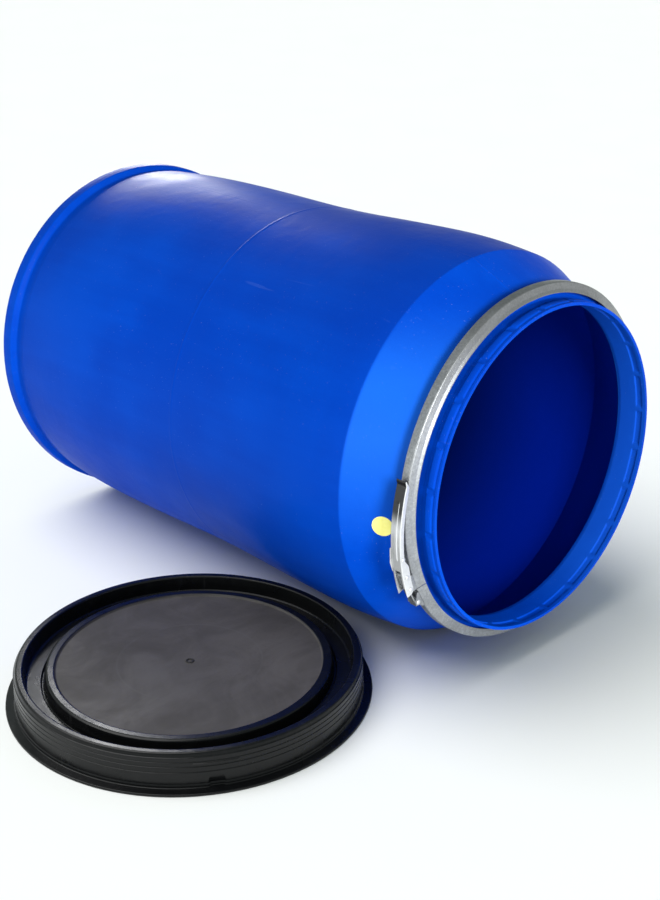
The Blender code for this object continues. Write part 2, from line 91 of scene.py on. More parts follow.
RING_RADIUS = 0.2605
GAP_ANGLE = 205.5
FLEX_ANGLE = GAP_ANGLE - 180.0
CLOSURE_X = BASE_X + 0.90425
BEND_CENTRE = (-0.0189, -0.0242)
BEND_RADIUS = 0.2540
LEVER_TIP, LEVER_HEEL = 162.4, 201.3
LEVER_WIDTH = 0.0175
LEVER_SHEET = 0.0012
SLOT_START = 191.6
SLOT_WIDTH = 0.0116
HEEL_OPEN = 197.9
PIN_ANGLE = 199.4
PIN_DEPTH = 0.0084
FLANGE_DEPTH = 0.0068
EAR_DEPTH = 0.0135
WELD_ANGLES = (207.9, 210.9, 202.2, 200.0)
WELD_HEIGHT = 0.9040

# ---------- the lid's own sizes ----------

FRONT_MARK_ANGLE = -31.0
BAR_DROP = 0.0155
BAR_ROWS = (-0.0017, -0.0013, -0.0010, 0.0010, 0.0013, 0.0017)

# ---------- mesh settings ----------

SHARP_TURN = math.radians(3.0)
CLOSE_POINTS = 1e-6


# ---------- outlines ----------


def rounded(corners, steps=4):
    """A path through (a, b, fillet) corners with its corners rounded."""
    points = [tuple(corners[0][:2])]
    for before, corner, after in zip(corners, corners[1:], corners[2:]):
        points.extend(fillet(Vector(before[:2]), Vector(corner[:2]), Vector(after[:2]), corner[2], steps))
    points.append(tuple(corners[-1][:2]))
    return points


def fillet(before, corner, after, radius, steps):
    if radius <= 0:
        return [tuple(corner)]
    back, ahead = (before - corner).normalized(), (after - corner).normalized()
    half = back.angle(ahead) / 2
    if half > 1.5:
        return [tuple(corner)]
    centre = corner + (back + ahead).normalized() * (radius / math.sin(half))
    start = corner + back * (radius / math.tan(half)) - centre
    end = corner + ahead * (radius / math.tan(half)) - centre
    turn = math.atan2(start.x * end.y - start.y * end.x, start.dot(end))
    rows = []
    for k in range(steps + 1):
        a = turn * k / steps
        rows.append((centre.x + start.x * math.cos(a) - start.y * math.sin(a),
                     centre.y + start.x * math.sin(a) + start.y * math.cos(a)))
    return rows


def supported(points, near=0.0007, longest=0.012):
    """The path with extra points beside its corners and along its long stretches."""
    bends = [True]
    for before, here, after in zip(points, points[1:], points[2:]):
        way_in, way_out = Vector(here) - Vector(before), Vector(after) - Vector(here)
        bends.append(way_in.length > 1e-7 and way_out.length > 1e-7 and way_in.angle(way_out) > SHARP_TURN)
    bends.append(True)
    made = [points[0]]
    for a, b, bend_a, bend_b in zip(points, points[1:], bends, bends[1:]):
        length = math.dist(a, b)
        start, end = near * bend_a, near * bend_b
        cuts = []
        if length > 4 * near:
            inner = max(1, math.ceil((length - start - end) / longest))
            cuts = [start + (length - start - end) * k / inner for k in range(inner + 1)]
        for cut in cuts:
            t = cut / length
            if 0 < t < 1:
                made.append((a[0] + (b[0] - a[0]) * t, a[1] + (b[1] - a[1]) * t))
        made.append(b)
    return made


def smooth(value, low, high):
    t = np.clip((value - low) / (high - low), 0.0, 1.0)
    return t * t * (3 - 2 * t)


def bump_at(value, centre, half, edge):
    """1 within half of the centre, falling to 0 over the edge width."""
    return 1 - smooth(np.abs(value - centre), half - edge / 2, half + edge / 2)


def angle_list(count, clusters=(), spread=()):
    """Angles in degrees round a full circle: even steps, and finer ones near each cluster."""
    angles = set(np.round(np.arange(count) * 360.0 / count, 4))
    for centre in clusters:
        for offset in spread:
            angles.add(round((centre + offset) % 360.0, 4))
    ordered = sorted(angles)
    kept = [ordered[0]]
    for angle in ordered[1:]:
        if angle - kept[-1] > 0.03:
            kept.append(angle)
    return np.array(kept)


def joined(angles, more, apart):
    """Two sets of angles in one rising list, without the later of any two that lie too close."""
    angles = np.array(sorted(set(angles) | set(more)))
    return angles[np.concatenate([[True], np.diff(angles) > apart])]


# ---------- meshes ----------

def mesh_object(name, points, faces, smooth_angle=32.0, merge=0.0):
    mesh = bpy.data.meshes.new(name)
    mesh.from_pydata([tuple(p) for p in points], [], [tuple(f) for f in faces])
    bm = bmesh.new()
    bm.from_mesh(mesh)
    if merge:
        bmesh.ops.remove_doubles(bm, verts=bm.verts[:], dist=merge)
    bmesh.ops.recalc_face_normals(bm, faces=bm.faces[:])
    bm.to_mesh(mesh)
    bm.free()
    obj = bpy.data.objects.new(name, mesh)
    bpy.context.scene.collection.objects.link(obj)
    mesh.shade_smooth()
    mesh.set_sharp_from_angle(angle=math.radians(smooth_angle))
    return obj


def grid_faces(rows, columns, wrap_rows, wrap_columns):
    last_row = rows if wrap_rows else rows - 1
    last_column = columns if wrap_columns else columns - 1
    i, j = np.meshgrid(np.arange(last_row), np.arange(last_column), indexing="ij")
    i2, j2 = (i + 1) % rows, (j + 1) % columns
    quads = np.stack([i * columns + j, i2 * columns + j, i2 * columns + j2, i * columns + j2], -1)
    return quads.reshape(-1, 4).tolist()


def drum_place(radius, height, degrees):
    a = np.radians(degrees)
    return np.stack([BASE_X + height + 0 * a, AXIS_Y + radius * np.cos(a), AXIS_Z + radius * np.sin(a)], -1)


def lid_place(radius, height, degrees):
    a = np.radians(degrees)
    return np.stack([LID_X + radius * np.cos(a), LID_Y + radius * np.sin(a), height + 0 * a], -1)


def revolve(name, path, angles, place, closed=False, shift=None, arc=False):
    """A path of (radius, height) turned round an axis. arc leaves the turn open, with end caps."""
    path = np.array(path)
    radius = np.repeat(path[:, :1], len(angles), 1)
    height = np.repeat(path[:, 1:2], len(angles), 1)
    turn = np.repeat(angles[None, :], len(path), 0)
    if shift:
        more_radius, more_height = shift(radius, height, turn)
        radius, height = radius + more_radius, height + more_height
    points = place(radius, height, turn).reshape(-1, 3)
    faces = grid_faces(len(path), len(angles), closed, not arc)
    if arc:
        for column in (0, len(angles) - 1):
            faces.append([row * len(angles) + column for row in range(len(path))])
    return mesh_object(name, points, faces, merge=CLOSE_POINTS)


# ---------- drum ----------

def body_radius(height):
    """The outside radius: narrower behind the chime, at the waist and towards the shoulder."""
    low, high = 0.20, 0.70
    if height < low:
        return BODY_RADIUS - BASE_TAPER * ((low - height) / (low - 0.045)) ** 2
    if height < high:
        return BODY_RADIUS - WAIST_DEPTH * math.sin(math.pi * (height - low) / (high - low)) ** 2
    fall = (height - high) / (SHOULDER_HEIGHT - high)
    return BODY_RADIUS - (BODY_RADIUS - SHOULDER_RADIUS) * fall ** 2


def drum_inside():
    heights = np.linspace(0.060, 0.790, 40)
    return supported(rounded([
        (0.0, 0.0265, 0.0), (0.262, 0.0185, 0.016), (0.2826, 0.034, 0.018),
        *[(body_radius(h) - WALL, h, 0.0) for h in heights],
        (SHOULDER_RADIUS - WALL, SHOULDER_HEIGHT - 0.001, 0.004),
        (CONE_END_RADIUS - 0.0028, CONE_END_HEIGHT - 0.0065, 0.002),
        (MOUTH_RADIUS + 0.0012, NECK_HEIGHT, 0.0012), (MOUTH_RADIUS, NECK_HEIGHT + 0.006, 0.0),
        *[(MOUTH_RADIUS, h, 0.0) for h in PAD_ROWS], (MOUTH_RADIUS, LENGTH, 0.0011),
    ]), longest=0.024)


def drum_outside():
    seam_rows = SEAM_HEIGHT + np.array([0.0034, 0.0026, 0.0018, -0.0018, -0.0026, -0.0034])
    heights = np.concatenate([np.linspace(0.796, 0.462, 24), seam_rows, np.linspace(0.448, 0.054, 28)])
    return supported(rounded([
        (LIP_RADIUS, LENGTH, 0.0011), (LIP_RADIUS, LENGTH - 0.0030, 0.0),
        (LIP_RADIUS - 0.0007, LENGTH - 0.0037, 0.0),
        *[(LIP_RADIUS - 0.0007, h, 0.0) for h in reversed(PAD_ROWS)],
        (LIP_RADIUS - 0.0020, LENGTH - 0.0200, 0.0), (LIP_RADIUS - 0.0030, LENGTH - 0.0260, 0.006),
        (LIP_RADIUS - 0.0014, 0.9045, 0.004), (LIP_RADIUS + 0.0040, 0.9015, 0.003),
        (FLANGE_RADIUS, 0.9015, 0.0014), (FLANGE_RADIUS, 0.8970, 0.0014),
        (CONE_END_RADIUS, 0.8970, 0.0012), (CONE_END_RADIUS, CONE_END_HEIGHT, 0.0010),
        (SHOULDER_RADIUS, SHOULDER_HEIGHT, 0.0045),
        *[(body_radius(h), h, 0.0) for h in heights],
        (0.2868, 0.040, 0.006), (0.2856, 0.029, 0.004), (CHIME_RADIUS - 0.0006, 0.0235, 0.003),
        (CHIME_RADIUS, 0.014, 0.006), (CHIME_RADIUS, 0.0, 0.005),
        (0.2770, 0.0, 0.003), (0.2740, 0.014, 0.004), (0.262, 0.014, 0.0), (0.0, 0.022, 0.0),
    ]), longest=0.024)


def pad_share(turn):
    """1 on a pad and 0 in the gap between two pads."""
    period = 360.0 / PADS
    away = np.abs((turn - PAD_PHASE + period / 2) % period - period / 2)
    return smooth(away, PAD_GAP - 0.55, PAD_GAP + 0.55)


def waves(height, turn):
    """Slow unevenness of a blown wall, in metres."""
    a = np.radians(turn)
    along = height / LENGTH * 2 * math.pi
    return (0.00035 * np.sin(2 * a + 1.3 * along + 0.4) + 0.00025 * np.sin(3 * a - 2.1 * along + 1.9)
            + 0.00016 * np.sin(5 * a + 3.2 * along) + 0.00010 * np.sin(9 * a - 4.7 * along + 0.8))


def drum_shift(split):
    """The shift for the drum's rows; the rows before split are the inside."""
    def shift(radius, height, turn):
        rows = np.arange(radius.shape[0])[:, None]
        outside = rows >= split
        pads = pad_share(turn)
        step = bump_at(height, PAD_HEIGHT, PAD_HALF_LENGTH, 0.0024)
        pocket = bump_at(height, PAD_HEIGHT, PAD_HALF_LENGTH, 0.0018)
        more = np.where(outside, 0.0023 * step * (pads - 0.16), 0.0022 * pocket * pads)
        more = more * (radius > MOUTH_RADIUS - 0.001) * (height > 0.91)
        for angle in PARTING_ANGLES:
            away = np.radians((turn - angle + 180.0) % 360.0 - 180.0) * radius
            ridge = np.exp(-(away / 0.0007) ** 2)
            on_cone = smooth(height, 0.800, 0.822) * (height < 0.894)
            line = ridge * (0.00045 * on_cone + 0.00010)
            more = more + outside * line * (height < 0.896) * (radius > 0.2)
        body = smooth(height, 0.05, 0.12) * (1 - smooth(height, 0.78, 0.81)) * (radius > 0.27)
        more = more + body * waves(height, turn)
        seam = bump_at(height, SEAM_HEIGHT, 0.0022, 0.0009)
        more = more + outside * (radius > 0.27) * 0.00028 * seam
        return more, 0 * more
    return shift


def build_drum():
    inside, outside = drum_inside(), drum_outside()
    gaps = [PAD_PHASE + k * 360.0 / PADS for k in range(PADS)]
    beside = (-1.7, -1.35, -1.0, -0.6, 0.6, 1.0, 1.35, 1.7)
    angles = angle_list(120, gaps, beside)
    ridge = angle_list(1, PARTING_ANGLES, (-0.5, -0.28, -0.18, -0.1, 0.0, 0.1, 0.18, 0.28, 0.5))
    angles = joined(angles, ridge, 0.03)
    shell = revolve("drum_shell", inside + outside, angles, drum_place, shift=drum_shift(len(inside)))
    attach(shell, "drum")
    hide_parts("drum_body")
    return shell


CONE_SLOPE = math.atan2(SHOULDER_RADIUS - CONE_END_RADIUS, CONE_END_HEIGHT - SHOULDER_HEIGHT)


def cone_radius(height):
    share = (height - SHOULDER_HEIGHT) / (CONE_END_HEIGHT - SHOULDER_HEIGHT)
    return SHOULDER_RADIUS + (CONE_END_RADIUS - SHOULDER_RADIUS) * share


def cone_point(height, degrees, lift):
    """A point that stands off the shoulder's cone by a lift, square to it."""
    radius = cone_radius(height) + lift * math.cos(CONE_SLOPE)
    return drum_place(radius, height + lift * math.sin(CONE_SLOPE), degrees)


def build_sticker():
    """A thin round label that follows the cone."""
    radius = cone_radius(STICKER_HEIGHT)
    sides = 64
    rings = [(0.0, 0.00032), (0.5, 0.00032), (0.9, 0.00032), (0.985, 0.00032), (1.0, 0.00026), (1.0, 0.00010),
             (0.9, 0.00008), (0.0, 0.00008)]
    points = []
    for share, lift in rings:
        for k in range(sides):
            a = 2 * math.pi * k / sides
            along = STICKER_RADIUS * share * math.cos(a) * math.cos(CONE_SLOPE)
            round_it = math.degrees(STICKER_RADIUS * share * math.sin(a) / radius)
            points.append(cone_point(STICKER_HEIGHT + along, STICKER_ANGLE + round_it, lift))
    label = mesh_object("dot_label", points, grid_faces(len(rings), sides, False, True), merge=CLOSE_POINTS)
    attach(label, "drum")
    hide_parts("sticker")
    return label


# ---------- lid ----------

def lid_path(height):
    """The lid's outline from the middle of its top, over the rim and skirt, to the middle underneath."""
    top = [
        (0.0, 0.0412, 0.0), (0.0012, 0.0412, 0.0), (0.0016, 0.0406, 0.0), (0.0036, 0.0406, 0.0),
        (0.0042, 0.0418, 0.0004), (0.0058, 0.0418, 0.0004), (0.0064, 0.0405, 0.0004),
        (0.060, 0.0408, 0.0), (0.120, 0.0414, 0.0), (0.178, 0.0425, 0.0), (0.1862, 0.0425, 0.0012),
        (0.1880, 0.0458, 0.0028), (0.2010, 0.0458, 0.0045), (0.2030, 0.0262, 0.0012),
        (0.2062, 0.0262, 0.0010), (0.2068, 0.0300, 0.0010), (0.2262, 0.0300, 0.0016),
        (0.2268, 0.0312, 0.0008), (0.2275, 0.0312, 0.0010), (0.2302, height, 0.0026),
    ]
    skirt = [
        (0.2402, height, 0.0030), (0.2424, height - 0.0052, 0.0016), (0.2436, height - 0.0060, 0.0008),
        (0.2436, height - 0.0112, 0.0004),
        (0.2430, height - 0.0117, 0.0004), (0.2430, height - 0.0124, 0.0004),
        (0.2437, height - 0.0129, 0.0004), *[(0.2437, height - BAR_DROP - k, 0.0) for k in BAR_ROWS],
        (0.2438, height - 0.0182, 0.0004), (0.2432, height - 0.0187, 0.0004),
        (0.2432, height - 0.0194, 0.0004), (0.2439, height - 0.0199, 0.0004),
        (0.2440, height - 0.0262, 0.0004), (0.2434, height - 0.0267, 0.0004),
        (0.2434, height - 0.0274, 0.0004), (0.2441, height - 0.0279, 0.0004),
        (0.2443, 0.0090, 0.0010), (0.2452, 0.0080, 0.0008), (0.2452, 0.0046, 0.0012),
        (0.2570, 0.0034, 0.0010), (0.2575, 0.0016, 0.0006), (0.2572, 0.0, 0.0008),
    ]
    roof = 0.0488
    under = [
        (0.2408, 0.0, 0.0010), (0.2403, roof, 0.0004), (0.2327, roof, 0.0004),
        (0.2300, 0.0270, 0.0020), (0.2095, 0.0270, 0.0010), (0.2085, 0.0235, 0.0010),
        (0.2005, 0.0235, 0.0020), (0.1980, 0.0425, 0.0010), (0.1915, 0.0425, 0.0010),
        (0.1900, 0.0392, 0.0010), (0.178, 0.0392, 0.0), (0.060, 0.0380, 0.0), (0.0, 0.0375, 0.0),
    ]
    return supported(rounded(top + skirt + under, 3), near=0.0005, longest=0.014)


def lid_shift(height):
    """The shift for the raised bar and the notch on the skirt, and the panel's slight sag."""
    def shift(radius, height_now, turn):
        away = ((turn - FRONT_MARK_ANGLE + 180.0) % 360.0 - 180.0)
        skirt_zone = (radius > 0.2425) * (radius < 0.2460) * (height_now > 0.004)
        bar = bump_at(away, 0.0, 7.0, 0.7) * bump_at(height_now, height - BAR_DROP, 0.0013, 0.0008)
        notch = bump_at(away, 0.2, 2.3, 0.5) * bump_at(height_now, 0.0085, 0.0045, 0.0016)
        more = skirt_zone * (0.0011 * bar - 0.0022 * notch)
        sag = (radius < 0.18) * 0.0004 * np.sin(np.radians(2 * turn + 40)) * (radius / 0.18) ** 2
        return more, sag
    return shift


def build_lid():
    height = lid_high.z - lid_low.z
    offsets = (0.0, 1.7, 1.95, 2.15, 2.35, 2.6, 2.9, 6.4, 6.7, 7.0, 7.3, 7.6)
    spread = [side * offset for side in (-1, 1) for offset in offsets]
    angles = angle_list(300, [FRONT_MARK_ANGLE], spread)
    lid = revolve("lid_shell", lid_path(height), angles, lid_place, shift=lid_shift(height))
    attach(lid, "lid")
    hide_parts("lid")
    return lid


def build_seal():
    """The ring of foam in the lid's lip channel."""
    path = supported(rounded([
        (0.2368, 0.0485, 0.0), (0.2338, 0.0485, 0.0006), (0.2338, 0.0388, 0.0022),
        (0.2398, 0.0388, 0.0022), (0.2398, 0.0485, 0.0006), (0.2370, 0.0485, 0.0)]))
    seal = revolve("lid_seal", path, angle_list(180), lid_place, closed=True)
    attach(seal, "lid")
    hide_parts("lid_gasket")
    return seal


# ---------- clamp ring ----------

def ring_section():
    """Closed (radius, height) outline of the channel, with rounded folds and eased edges."""
    outer = rounded([
        (0.2460, 0.8946, 0.0), (0.2593, 0.8962, 0.0014), (0.2604, 0.8974, 0.0012), (0.2606, 0.9034, 0.0),
        (0.2606, 0.9050, 0.0), (0.2604, 0.9091, 0.0008), (0.2594, 0.9104, 0.0008), (0.2510, 0.9130, 0.0),
        (0.2472, 0.9150, 0.0014), (0.2463, 0.9152, 0.0)])
    inner = rounded([
        (0.2460, 0.9143, 0.0), (0.2468, 0.9138, 0.0008), (0.2580, 0.9094, 0.0010), (0.2592, 0.9080, 0.0008),
        (0.2593, 0.8988, 0.0008), (0.2582, 0.8975, 0.0010), (0.2460, 0.8958, 0.0)])
    return supported(outer + inner, near=0.0004, longest=0.004)


def ring_shift(radius, height, turn):
    """Slight unevenness of a rolled band, and the dimples of its spot welds."""
    a = np.radians(turn)
    more = 0.00018 * np.sin(7 * a + 0.6) + 0.00012 * np.sin(13 * a + 2.1)
    for weld_angle in WELD_ANGLES:
        away = np.hypot(np.radians(turn - weld_angle) * radius, height - WELD_HEIGHT)
        more = more - 0.0005 * (1 - smooth(away, 0.0012, 0.0021)) * (radius > 0.2585)
    return more, 0.00025 * np.sin(5 * a + 1.0) + 0 * height


def build_ring():
    section = ring_section()
    half_gap = 0.13
    halves = (
        ("clamp_band_upper", "ring_upper", "band_upper", FLEX_ANGLE, GAP_ANGLE - half_gap),
        ("clamp_band_lower", "ring_lower", "band_lower", GAP_ANGLE + half_gap, FLEX_ANGLE + 360.0),
    )
    made = []
    for name, node, body, start, end in halves:
        near_welds = [round(a, 3) for a in np.arange(198.5, 213.0, 0.16) if start < a < end]
        angles = joined(np.round(np.linspace(start, end, 200), 3), near_welds, 0.04)
        band = revolve(name, section, angles, drum_place, closed=True, shift=ring_shift, arc=True)
        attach(band, body)
        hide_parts(node)
        made.append(band)
    return made


# ---------- lever closure ----------

def lever_place(across, radius, degrees):
    a = np.radians(degrees)
    return np.stack([CLOSURE_X + across, AXIS_Y + BEND_CENTRE[0] + radius * np.cos(a),
                     AXIS_Z + BEND_CENTRE[1] + radius * np.sin(a)], -1)


def flange_depth(degrees):
    """How far the lever's sides are folded down at a place along it, clear of the band."""
    deep = FLANGE_DEPTH + (EAR_DEPTH - FLANGE_DEPTH) * float(smooth(degrees, 187.5, 191.5))
    deep *= float(smooth(degrees, LEVER_TIP - 0.5, LEVER_TIP + 2.2)) * 0.86 + 0.14
    past_pin = max(0.0, math.radians(degrees - PIN_ANGLE)) * BEND_RADIUS * 0.68
    if past_pin > 0:
        deep = PIN_DEPTH + math.sqrt(max(0.0, (deep - PIN_DEPTH) ** 2 - past_pin ** 2))
    a = math.radians(degrees)
    while deep > 0.0014:
        radius = BEND_RADIUS - deep
        out = math.hypot(BEND_CENTRE[0] + radius * math.cos(a), BEND_CENTRE[1] + radius * math.sin(a))
        if out > RING_RADIUS + 0.0011 or degrees > 187.0:
            break
        deep -= 0.0001
    return deep


def lever_section(degrees):
    """The pressed sheet's closed (across, radius) outline at a place along the lever."""
    half, corner, inner_corner = LEVER_WIDTH / 2, 0.0014, 0.0006
    right = [0.7, 1.4, 2.05, 2.4, 2.75, 3.1, 3.5, 4.2, 5.2, 6.2, 6.9, 7.35]
    across = np.array([-x for x in reversed(right)] + [0.0] + right) / 1000
    deep = flange_depth(degrees)
    flare = 0.0034 * (1 - float(smooth(degrees, LEVER_TIP, LEVER_TIP + 1.9)))
    top = BEND_RADIUS + flare
    rib_share = float(smooth(degrees, 168.6, 169.7)) * (1 - float(smooth(degrees, 187.2, 188.4)))
    rib = 0.0009 * rib_share * (1 - smooth(np.abs(across), 0.0020, 0.0031))
    fold = [(-half, top - deep), (-half, top - corner - 0.0005), (-half, top - corner)]
    fold += [(-half + corner * (1 - math.cos(a)), top - corner * (1 - math.sin(a)))
             for a in (0.4, 0.8, 1.2, 1.5708)]
    outer = fold + [(x, top + r) for x, r in zip(across, rib)]
    outer += [(-x, r) for x, r in reversed(fold)]
    side, under = half - LEVER_SHEET, top - LEVER_SHEET
    inner_across = across[::-1] * (side - inner_corner) / across[-1]
    inner = [(side, top - deep), (side, under - inner_corner)]
    inner += [(x, under + r) for x, r in zip(inner_across, rib[::-1])]
    inner += [(-side, under - inner_corner), (-side, top - deep)]
    return outer + inner


def build_lever():
    stations = np.concatenate([np.arange(LEVER_TIP, LEVER_HEEL, 0.28), [LEVER_HEEL]])
    rows = np.array([lever_section(degrees) for degrees in stations])
    points = lever_place(rows[..., 0], rows[..., 1], np.repeat(stations[:, None], rows.shape[1], 1))
    faces = grid_faces(len(stations), rows.shape[1], False, True)
    for row in (0, len(stations) - 1):
        faces.append([row * rows.shape[1] + k for k in range(rows.shape[1])])
    lever = mesh_object("lever_arm", points.reshape(-1, 3), faces, smooth_angle=38.0)
    cut_lever(lever)
    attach(lever, "lever_arm")
    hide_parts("lever")
    return lever


def slot_cutter(name, start, width):
    """A thick strip that opens the lever's top from an angle to past its heel, rounded at its start."""
    inner, outer, corner = BEND_RADIUS - 0.0028, BEND_RADIUS + 0.006, 0.0030
    degree_length = 0.0044
    stations = np.concatenate([np.arange(start, LEVER_HEEL + 1.0, 0.25), [LEVER_HEEL + 1.0]])
    points = []
    for degrees in stations:
        into = min(1.0, (degrees - start + 0.12) * degree_length / corner)
        half = width / 2 - corner * (1 - math.sqrt(1 - (1 - into) ** 2))
        for x, r in ((-half, inner), (-half, outer), (half, outer), (half, inner)):
            points.append(lever_place(x, r, degrees))
    faces = grid_faces(len(stations), 4, False, True)
    faces += [[0, 1, 2, 3], [len(points) - 4 + k for k in range(4)]]
    return mesh_object(name, points, faces)


def cut_lever(lever):
    """The strap's slot, open at the heel, and the round holes through the ears."""
    cutters = [slot_cutter("lever_slot", SLOT_START, SLOT_WIDTH),
               slot_cutter("lever_heel", HEEL_OPEN, LEVER_WIDTH - 2 * LEVER_SHEET)]
    for node in ("lever_rivet_back", "strap_pin", "latch_rivet"):
        low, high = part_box(node)
        cutters.append(cylinder_x("lever_hole", (low + high) / 2, 0.0023, 0.030))
    for cutter in cutters:
        carve = lever.modifiers.new("carve", "BOOLEAN")
        carve.solver = "EXACT"
        carve.object = cutter
    bpy.context.view_layer.update()
    graph = bpy.context.evaluated_depsgraph_get()
    solid = bpy.data.meshes.new_from_object(lever.evaluated_get(graph))
    lever.modifiers.clear()
    lever.data = solid
    for cutter in cutters:
        bpy.data.objects.remove(cutter, do_unlink=True)
    solid.shade_smooth()
    solid.set_sharp_from_angle(angle=math.radians(38.0))


def cylinder_x(name, centre, radius, length, sides=40):
    points = []
    for x in (-length / 2, length / 2):
        for k in range(sides):
            a = 2 * math.pi * k / sides
            points.append((centre.x + x, centre.y + radius * math.cos(a), centre.z + radius * math.sin(a)))
    faces = grid_faces(2, sides, False, True)
    faces += [list(range(sides)), list(range(sides, 2 * sides))]
    return mesh_object(name, points, faces)


def build_pin(name, node, body, heads, shaft=0.0020):
    """A pin along X with domed heads at the ends that heads names."""
    low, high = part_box(node)
    centre, head, thick = (low + high) / 2, (high.z - low.z) / 2, 0.0010
    if "low" in heads:
        profile = [(0.0, low.x - 0.0003), (head * 0.45, low.x - 0.0002), (head * 0.8, low.x + 0.0002),
                   (head, low.x + 0.0006), (head, low.x + thick), (shaft, low.x + thick)]
    else:
        profile = [(0.0, low.x), (shaft, low.x)]
    if "high" in heads:
        profile += [(shaft, high.x - thick), (head, high.x - thick), (head, high.x - 0.0006),
                    (head * 0.8, high.x - 0.0002), (head * 0.45, high.x + 0.0002), (0.0, high.x + 0.0003)]
    else:
        profile += [(shaft, high.x), (0.0, high.x)]
    sides = 36
    round_it = [2 * math.pi * k / sides for k in range(sides)]
    points = [(x, centre.y + r * math.cos(a), centre.z + r * math.sin(a))
              for r, x in profile for a in round_it]
    faces = grid_faces(len(profile), sides, False, True)
    pin = mesh_object(name, points, faces, 40.0, merge=CLOSE_POINTS)
    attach(pin, body)
    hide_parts(node)
    return pin


def softened(name, node, body, width, smooth_angle=35.0):
    """A copy of a CAD plate with its sharp edges eased."""
    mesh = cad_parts[node].data.copy()
    bm = bmesh.new()
    bm.from_mesh(mesh)
    bmesh.ops.remove_doubles(bm, verts=bm.verts[:], dist=CLOSE_POINTS)
    bmesh.ops.dissolve_limit(bm, angle_limit=math.radians(1.0), verts=bm.verts[:], edges=bm.edges[:])
    bm.to_mesh(mesh)
    bm.free()
    mesh.name = name
    mesh.materials.clear()
    plate = bpy.data.objects.new(name, mesh)
    bpy.context.scene.collection.objects.link(plate)
    ease = plate.modifiers.new("ease", "BEVEL")
    ease.width = width
    ease.segments = 2
    ease.limit_method = "ANGLE"
    ease.angle_limit = math.radians(40.0)
    mesh.shade_smooth()
    mesh.set_sharp_from_angle(angle=math.radians(smooth_angle))
    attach(plate, body)
    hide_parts(node)
    return plate


def build_closure():
    return [
        build_lever(),
        softened("bracket_lever", "lever_bracket", "band_upper", 0.00025),
        softened("bracket_catch", "catch_bracket", "band_lower", 0.00025),
        softened("strap_hook", "strap", "tension_strap", 0.00030),
        softened("latch_plate", "safety_latch", "latch", 0.00020),
        build_pin("rivet_back", "lever_rivet_back", "band_upper", ("low",)),
        build_pin("rivet_front", "lever_rivet_front", "band_upper", ("high",)),
        build_pin("pin_strap", "strap_pin", "lever_arm", ("low", "high")),
        build_pin("pin_catch", "catch_pin", "band_lower", ("low", "high")),
        build_pin("rivet_latch", "latch_rivet", "lever_arm", ("low", "high")),
    ]


# ---------- materials ----------

# Some of the photograph's shading is in the colours, fixed to the object: the drum's dark inside, the
# cone's pale middle, the dim stretch before the shoulder, the band's dark top and the lever's dark end.

SHOULDER_X = BASE_X + SHOULDER_HEIGHT
CONE_END_X = BASE_X + CONE_END_HEIGHT
NECK_X = BASE_X + NECK_HEIGHT + 0.001
INSIDE_SHADE = 0.96
# height above which the lever is painted with a dark reflection
LEVER_DARK_REFLECTION_Z = 0.292
PANEL_RADIUS = 0.1868
PANEL_Z = 0.0385
ARC_RADIUS = 0.102


